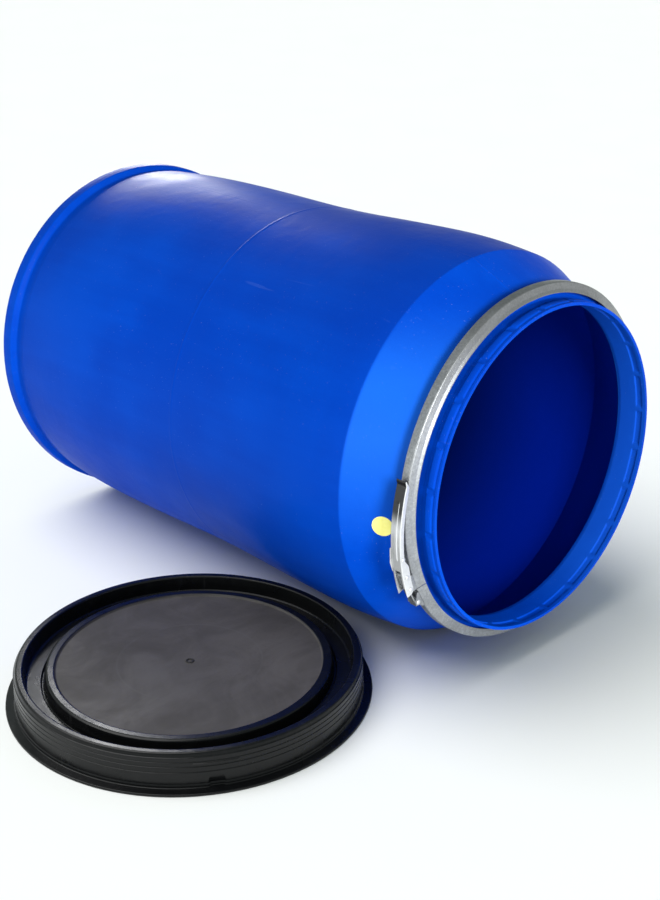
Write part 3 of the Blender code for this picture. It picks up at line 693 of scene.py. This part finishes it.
class Look:
    """A material whose nodes are added by short calls. Places are the piece's own coordinates."""

    def __init__(self, name, **fixed):
        self.material = bpy.data.materials.new(name)
        self.material.use_nodes = True
        self.tree = self.material.node_tree
        self.shader = self.tree.nodes["Principled BSDF"]
        for key, value in fixed.items():
            self.shader.inputs[key.replace("_", " ")].default_value = value
        self.place = self.add("ShaderNodeTexCoord").outputs["Object"]

    def add(self, kind, settings=None, **inputs):
        node = self.tree.nodes.new(kind)
        for key, value in (settings or {}).items():
            setattr(node, key, value)
        for key, value in inputs.items():
            self.feed(node.inputs[key.replace("_", " ")], value)
        return node

    def feed(self, socket, value):
        if isinstance(value, bpy.types.NodeSocket):
            self.tree.links.new(value, socket)
        else:
            socket.default_value = value

    def maths(self, operation, *values, clamp=False):
        node = self.add("ShaderNodeMath", {"operation": operation, "use_clamp": clamp})
        for socket, value in zip(node.inputs, values):
            self.feed(socket, value)
        return node.outputs[0]

    def times(self, first, *more):
        for value in more:
            first = self.maths("MULTIPLY", first, value)
        return first

    def plus(self, first, *more, clamp=False):
        for value in more:
            first = self.maths("ADD", first, value, clamp=clamp)
        return first

    def stretched(self, scale, offset=(0.0, 0.0, 0.0)):
        return self.add("ShaderNodeMapping", Vector=self.place, Scale=scale, Location=offset).outputs[0]

    def noise(self, scale, detail=3.0, roughness=0.5, place=None, distortion=0.0):
        node = self.add("ShaderNodeTexNoise", Vector=place or self.place, Scale=scale, Detail=detail,
                        Roughness=roughness, Distortion=distortion)
        return node.outputs["Fac"]

    def between(self, value, low, high, to_low=0.0, to_high=1.0, kind="SMOOTHSTEP"):
        node = self.add("ShaderNodeMapRange", {"interpolation_type": kind}, Value=value,
                        From_Min=low, From_Max=high, To_Min=to_low, To_Max=to_high)
        return node.outputs[0]

    def mix(self, share, a, b, blend="MIX"):
        node = self.add("ShaderNodeMix", {"data_type": "RGBA", "blend_type": blend})
        self.feed(node.inputs["Factor"], share)
        self.feed(node.inputs[6], a)
        self.feed(node.inputs[7], b)
        return node.outputs[2]

    def bumps(self, *layers):
        """Chained bumps from (height, distance) layers, into the shader's normal."""
        normal = None
        for height, distance in layers:
            node = self.add("ShaderNodeBump", Height=height, Distance=distance, Strength=1.0)
            if normal:
                self.tree.links.new(normal, node.inputs["Normal"])
            normal = node.outputs[0]
        self.tree.links.new(normal, self.shader.inputs["Normal"])

    def facing(self):
        """The surface's direction, as X, Y and Z outputs."""
        normal = self.add("ShaderNodeNewGeometry").outputs["Normal"]
        return self.add("ShaderNodeSeparateXYZ", Vector=normal).outputs

    def colour(self, value):
        self.feed(self.shader.inputs["Base Color"], value)

    def rough(self, value):
        self.feed(self.shader.inputs["Roughness"], value)

    def polar(self, centre_a, centre_b, axes):
        """Radius and angle, in radians, about a centre in the plane of two axes, and the place's X, Y, Z."""
        here = self.add("ShaderNodeSeparateXYZ", Vector=self.place).outputs
        a = self.maths("SUBTRACT", here[axes[0]], centre_a)
        b = self.maths("SUBTRACT", here[axes[1]], centre_b)
        radius = self.maths("SQRT", self.plus(self.times(a, a), self.times(b, b)))
        return radius, self.maths("ARCTAN2", b, a), here


def shoulder_painted_light(look, here, base):
    """Painted highlight and painted shade: the cone is paler at mid height, and the body is dimmer just
    before it.
    """
    x, z = here["X"], here["Z"]
    on_cone = look.times(look.between(x, SHOULDER_X - 0.003, SHOULDER_X + 0.004),
                         look.between(x, CONE_END_X + 0.001, CONE_END_X - 0.001))
    mid_height = look.times(look.between(z, AXIS_Z - 0.10, AXIS_Z + 0.10),
                            look.between(z, AXIS_Z + 0.26, AXIS_Z + 0.15))
    # painted highlight: the cone's middle is made paler where light falls on it
    base = look.mix(look.times(on_cone, mid_height, 0.68), base, (0.010, 0.115, 0.58, 1))
    # painted shade: the body is darker over the stretch before the shoulder
    shoulder_painted_shade_mask = look.times(look.between(x, SHOULDER_X - 0.34, SHOULDER_X - 0.02),
                               look.between(x, SHOULDER_X + 0.002, SHOULDER_X - 0.002))
    return look.mix(look.times(shoulder_painted_shade_mask, 0.42), base, (0.0002, 0.026, 0.26, 1))


def inside_shade(look, here, radius, turn, base):
    """Painted shade and painted light: the inside is near black at the base and bluer towards the mouth, and
    the neck has one paler side.
    """
    x, facing = here["X"], look.facing()
    outward = look.plus(look.times(facing["Y"], look.maths("COSINE", turn)),
                        look.times(facing["Z"], look.maths("SINE", turn)))
    looks_in = look.between(outward, -0.15, -0.35)
    base_inside = look.times(look.between(facing["X"], 0.5, 0.8), look.between(radius, 0.284, 0.280),
                             look.between(x, BASE_X + 0.3, BASE_X + 0.2))
    wall_inside = look.times(looks_in, look.between(x, NECK_X, NECK_X - 0.004))
    inside = look.maths("MAXIMUM", base_inside, wall_inside)
    # painted shade: the inside is darkened, near black deep in and bluer towards the mouth
    near_mouth = look.between(x, BASE_X + 0.44, SHOULDER_X + 0.02)
    depth_shade_colour = look.mix(near_mouth, (0.0001, 0.0008, 0.018, 1), (0.0001, 0.014, 0.36, 1))
    base = look.mix(look.times(inside, INSIDE_SHADE), base, depth_shade_colour)
    # painted light: one side of the neck's inside is paler
    neck_painted_light = look.times(looks_in, look.between(x, NECK_X, NECK_X + 0.004),
                             look.between(here["Y"], AXIS_Y, AXIS_Y + 0.16))
    return look.mix(look.times(neck_painted_light, 0.45), base, (0.010, 0.105, 0.60, 1))


def blue_plastic():
    """Satin blue polyethylene: slow colour drift, moulding streaks, scuffs and a fine skin texture, with
    painted light and shade on the cone, before the shoulder and inside.
    """
    look = Look("satin_blue_polyethylene", Specular_IOR_Level=0.020, IOR=1.50)
    radius, turn, here = look.polar(AXIS_Y, AXIS_Z, ("Y", "Z"))
    drift = look.noise(3.1, 3.0, 0.55)
    streaks = look.noise(26.0, 4.0, 0.6, look.stretched((0.08, 1.0, 1.0)))
    hoops = look.noise(34.0, 3.0, 0.6, look.stretched((1.0, 0.10, 0.10), (0.3, 0.1, 0.2)))
    tone = look.plus(look.times(drift, 0.75), look.times(streaks, 0.25))
    base = look.mix(look.between(tone, 0.36, 0.64), (0.0003, 0.042, 0.400, 1), (0.0005, 0.060, 0.500, 1))
    scratch = look.noise(150.0, 2.0, 0.5, look.stretched((0.05, 1.0, 1.0), (1.7, 0.2, 0.9)))
    patches = look.noise(4.7, 2.0, 0.5, look.stretched((1.0, 1.0, 1.0), (5.0, 2.0, 1.0)))
    scuffs = look.times(look.between(scratch, 0.66, 0.71), look.between(patches, 0.56, 0.70))
    base = look.mix(look.times(scuffs, 0.11), base, (0.10, 0.20, 0.62, 1))
    specks = look.between(look.noise(420.0, 1.0, 0.5), 0.755, 0.78)
    base = look.mix(look.times(specks, 0.22), base, (0.35, 0.42, 0.70, 1))
    base = shoulder_painted_light(look, here, base)
    look.colour(inside_shade(look, here, radius, turn, base))
    uneven = look.between(look.noise(8.0, 4.0, 0.6), 0.3, 0.7, 0.33, 0.45)
    look.rough(look.plus(uneven, look.times(scuffs, 0.16), clamp=True))
    look.bumps((look.noise(46.0, 3.0, 0.55), 0.00050), (hoops, 0.00022),
               (look.noise(900.0, 2.0, 0.6), 0.00005), (scuffs, -0.00008))
    return look.material


def black_plastic():
    """Black polyethylene: a dull, greyer panel inside a glossier rim, with flow marks and rub marks."""
    look = Look("black_polyethylene", Specular_IOR_Level=0.28, IOR=1.50)
    radius, _, here = look.polar(LID_X, LID_Y, ("X", "Y"))
    panel = look.times(look.between(radius, PANEL_RADIUS + 0.0017, PANEL_RADIUS),
                       look.between(here["Z"], PANEL_Z, PANEL_Z + 0.0015))
    flow = look.noise(9.0, 4.0, 0.62, look.stretched((1.0, 1.0, 1.0), (0.7, 0.3, 0.0)), 1.2)
    smear = look.noise(14.0, 5.0, 0.65, look.stretched((1.0, 0.22, 1.0), (1.2, 0.4, 0.0)))
    panel_tone = look.plus(look.times(flow, 0.6), look.times(smear, 0.4))
    panel_colour = look.mix(look.between(panel_tone, 0.34, 0.68),
                            (0.050, 0.045, 0.042, 1), (0.084, 0.077, 0.073, 1))
    off_arc = look.maths("ABSOLUTE", look.maths("SUBTRACT", radius, ARC_RADIUS))
    arc = look.times(look.between(off_arc, 0.0025, 0.0), look.between(look.noise(7.0, 2.0), 0.42, 0.62))
    panel_colour = look.mix(look.times(arc, 0.4), panel_colour, (0.085, 0.082, 0.082, 1))
    gate = look.times(look.between(radius, 0.0072, 0.0056), look.between(radius, 0.0022, 0.0032))
    panel_colour = look.mix(look.times(gate, 0.75), panel_colour, (0.006, 0.006, 0.006, 1))
    rub = look.noise(190.0, 2.0, 0.5, look.stretched((1.0, 1.0, 0.10), (0.0, 0.5, 0.0)))
    rubs = look.times(look.between(rub, 0.60, 0.70), look.between(look.noise(5.5, 2.0), 0.52, 0.72))
    rim_colour = look.mix(look.times(rubs, 0.35), (0.0045, 0.0048, 0.0055, 1), (0.032, 0.032, 0.034, 1))
    dust = look.between(look.noise(60.0, 5.0, 0.7), 0.50, 0.80)
    rim_colour = look.mix(look.times(dust, 0.18), rim_colour, (0.034, 0.034, 0.036, 1))
    look.colour(look.mix(panel, rim_colour, panel_colour))
    rim_rough = look.between(look.noise(11.0, 4.0, 0.6), 0.3, 0.7, 0.20, 0.34)
    panel_rough = look.between(panel_tone, 0.3, 0.7, 0.60, 0.48)
    look.rough(look.plus(look.times(panel, look.maths("SUBTRACT", panel_rough, rim_rough)),
                         look.plus(rim_rough, look.times(rubs, 0.12))))
    look.bumps((look.noise(38.0, 3.0, 0.55), 0.00035), (look.noise(700.0, 2.0, 0.6), 0.00005),
               (rubs, -0.00006))
    return look.material


def seal_rubber():
    look = Look("seal_foam", Specular_IOR_Level=0.30)
    cells = look.add("ShaderNodeTexVoronoi", Vector=look.place, Scale=900.0).outputs["Distance"]
    look.colour(look.mix(look.noise(60.0, 4.0), (0.010, 0.010, 0.010, 1), (0.035, 0.034, 0.033, 1)))
    look.rough(look.between(look.noise(30.0), 0.3, 0.7, 0.70, 0.90))
    look.bumps((cells, 0.0002))
    return look.material


def zinc_steel(name, colours, rough, spangle, metal, dark_reflection_above=None):
    """Zinc-coated steel: facets of spangle, a grey bloom and stains.

    colours are the darkest and lightest, rough the lowest and highest, and spangle is its scale and
    share. Given a height, the sheet is painted nearly black over it as a dark reflection, but not on its
    front edge. Without it, the sheet is darker towards the top as painted shade and a little paler on its
    front face as painted light.
    """
    look = Look(name, Metallic=metal, IOR=2.0)
    spangle_scale, spangle_share = spangle
    facets = look.add("ShaderNodeTexVoronoi", Vector=look.place, Scale=spangle_scale, Randomness=1.0)
    tone = look.add("ShaderNodeSeparateColor", Color=facets.outputs["Color"]).outputs[0]
    bloom = look.noise(22.0, 5.0, 0.65)
    grain = look.noise(240.0, 4.0, 0.65)
    unevenness = look.plus(look.times(bloom, 0.55), look.times(grain, 0.35))
    share = look.plus(look.times(tone, spangle_share), unevenness)
    base = look.mix(look.between(share, 0.30, 0.95), *colours)
    stains = look.noise(58.0, 5.0, 0.7, look.stretched((1.0, 1.0, 1.0), (3.0, 1.0, 2.0)))
    stain = look.between(stains, 0.60, 0.76)
    base = look.mix(look.times(stain, 0.35), base, (0.16, 0.16, 0.155, 1))
    height = look.add("ShaderNodeSeparateXYZ", Vector=look.place).outputs["Z"]
    front = look.facing()["X"]
    if dark_reflection_above:
        # painted reflection: the sheet is darkened nearly black above the given height
        painted_dark_reflection = look.times(look.between(height, dark_reflection_above - 0.012, dark_reflection_above + 0.016),
                            look.between(front, 0.75, 0.45))
        base = look.mix(look.times(painted_dark_reflection, 0.93), base, (0.020, 0.020, 0.021, 1))
        look.feed(look.shader.inputs["Metallic"], look.plus(metal, look.times(painted_dark_reflection, 1 - metal)))
    else:
        # painted light: the front face is made a little paler
        base = look.mix(look.times(look.between(front, 0.25, 0.75), 0.10), base, (0.86, 0.88, 0.90, 1))
        # painted shade: the sheet is darker towards the top
        top = look.between(height, AXIS_Z + 0.10, AXIS_Z + 0.24, 0.0, 0.60)
        base = look.mix(top, base, (0.11, 0.11, 0.11, 1))
    look.colour(base)
    low, high = rough
    look.rough(look.plus(look.between(share, 0.3, 0.95, high, low), look.times(stain, 0.12), clamp=True))
    look.bumps((bloom, 0.00030), (tone, 0.00004), (grain, 0.00006))
    return look.material


def yellow_paper():
    look = Look("yellow_label", Specular_IOR_Level=0.35)
    look.colour(look.mix(look.noise(160.0, 5.0, 0.7), (0.86, 0.80, 0.16, 1), (0.96, 0.92, 0.34, 1)))
    look.rough(look.between(look.noise(80.0), 0.3, 0.7, 0.45, 0.62))
    look.bumps((look.noise(350.0, 4.0, 0.6), 0.00006))
    return look.material


def floor_paint():
    look = Look("pale_floor", Specular_IOR_Level=0.12)
    look.colour(look.mix(look.noise(1.6, 3.0), (0.925, 0.935, 0.930, 1), (0.945, 0.952, 0.948, 1)))
    look.rough(look.between(look.noise(5.0), 0.3, 0.7, 0.55, 0.70))
    look.bumps((look.noise(300.0, 2.0), 0.00002))
    return look.material


def give(pieces, material):
    for piece in pieces:
        piece.data.materials.clear()
        piece.data.materials.append(material)


# ---------- stage ----------

def build_floor():
    half = 30
    corners = [(-half, -half, 0), (half, -half, 0), (half, half, 0), (-half, half, 0)]
    floor = mesh_object("studio_floor", corners, [(0, 1, 2, 3)])
    return floor


WHITE = (1.0, 1.0, 1.0)
SUN_PLACE = (0.0, 0.0, 4.0)


def soft_light(name, place, target, size, power, colour=WHITE):
    """A rectangle of light that points at a target."""
    data = bpy.data.lights.new(name, "AREA")
    data.shape = "RECTANGLE"
    data.size, data.size_y = size
    data.energy = power
    data.color = colour
    lamp = bpy.data.objects.new(name, data)
    bpy.context.scene.collection.objects.link(lamp)
    lamp.location = place
    lamp.rotation_euler = (Vector(target) - lamp.location).to_track_quat("-Z", "Y").to_euler()
    return lamp


def soft_sun(name, direction, strength, angle, colour=WHITE):
    """A broad, even light from one side of the sky, given as the direction towards it."""
    data = bpy.data.lights.new(name, "SUN")
    data.energy = strength
    data.angle = math.radians(angle)
    data.color = colour
    lamp = bpy.data.objects.new(name, data)
    bpy.context.scene.collection.objects.link(lamp)
    lamp.location = SUN_PLACE
    lamp.rotation_euler = Vector(direction).to_track_quat("Z", "Y").to_euler()
    return lamp


SKY = (
    (0.00, (0.93, 0.95, 0.94, 1)),
    (0.10, (0.84, 0.88, 0.87, 1)),
    (0.30, (0.37, 0.43, 0.41, 1)),
    (1.00, (0.21, 0.25, 0.24, 1)),
)


def build_world():
    """White at the horizon and dimmer overhead."""
    world = bpy.data.worlds.new("studio")
    world.use_nodes = True
    tree = world.node_tree
    place = tree.nodes.new("ShaderNodeTexCoord")
    split = tree.nodes.new("ShaderNodeSeparateXYZ")
    ramp = tree.nodes.new("ShaderNodeValToRGB")
    stops = ramp.color_ramp.elements
    for _ in SKY[len(stops):]:
        stops.new(0.5)
    for stop, (position, colour) in zip(stops, SKY):
        stop.position = position
        stop.color = colour
    tree.links.new(place.outputs["Generated"], split.inputs[0])
    tree.links.new(split.outputs["Z"], ramp.inputs[0])
    tree.links.new(ramp.outputs[0], tree.nodes["Background"].inputs["Color"])
    bpy.context.scene.world = world


def only_for(lamp, pieces):
    """Let a lamp light these pieces and nothing else."""
    lit = bpy.data.collections.new(lamp.name + "_lights")
    for piece in pieces:
        lit.objects.link(piece)
    lamp.light_linking.receiver_collection = lit


def build_lights(drum_pieces, lid_pieces, floor):
    ceiling = soft_sun("ceiling", (-0.27, -0.34, 0.90), 2.72, 60.0, (1.0, 0.99, 0.985))
    only_for(ceiling, [floor, *lid_pieces])
    mouth_side, body_middle = (0.35, 0.0, 0.30), (-0.4, 0.0, 0.55)
    for lamp in (
        soft_sun("above_drum", (-0.30, -0.25, 0.90), 0.55, 70.0),
        soft_light("front", (3.10, -0.85, 1.25), mouth_side, (1.0, 0.9), 128.0),
        soft_light("left", (0.55, -2.6, 0.9), mouth_side, (1.3, 1.0), 26.0, (1.0, 0.99, 0.97)),
        soft_light("back_left", (-2.7, 1.5, 1.20), body_middle, (1.1, 0.7), 48.0),
    ):
        only_for(lamp, drum_pieces)
    only_for(soft_light("lid_back", (-0.9, 0.6, 1.1), (LID_X, LID_Y, 0.0), (0.8, 0.3), 14.0), lid_pieces)
    build_world()


def build_camera():
    """The photograph's view of the drum, found by fitting the drum's outline."""
    data = bpy.data.cameras.new("photo_camera")
    data.sensor_width = 36.0
    data.lens = 54.97
    camera = bpy.data.objects.new("photo_camera", data)
    bpy.context.scene.collection.objects.link(camera)
    camera.location = (1.5255, -1.2516, 1.0587)
    camera.rotation_euler = (math.radians(67.41), 0.0, math.radians(45.99))
    bpy.context.scene.camera = camera


# ---------- assembly ----------

band_zinc = zinc_steel("galvanised_band", ((0.20, 0.21, 0.22, 1), (0.50, 0.52, 0.55, 1)),
                       rough=(0.30, 0.44), spangle=(420.0, 0.16), metal=0.78)
plate_zinc = zinc_steel("bright_zinc", ((0.62, 0.635, 0.65, 1), (0.90, 0.91, 0.92, 1)),
                        rough=(0.20, 0.34), spangle=(900.0, 0.06), metal=0.55, dark_reflection_above=LEVER_DARK_REFLECTION_Z)

drum_shell, dot_label = build_drum(), build_sticker()
lid_shell, lid_seal = build_lid(), build_seal()
bands, closure = build_ring(), build_closure()
give([drum_shell], blue_plastic())
give([dot_label], yellow_paper())
give([lid_shell], black_plastic())
give([lid_seal], seal_rubber())
give(bands, band_zinc)
lever, lever_bracket, catch_bracket, strap, *small_parts = closure
give([lever, *small_parts], plate_zinc)
give([lever_bracket, catch_bracket, strap], band_zinc)
studio_floor = build_floor()
give([studio_floor], floor_paint())
build_lights([drum_shell, dot_label, *bands, *closure], [lid_shell, lid_seal], studio_floor)
build_camera()
bpy.context.scene.view_settings.view_transform = "Standard"
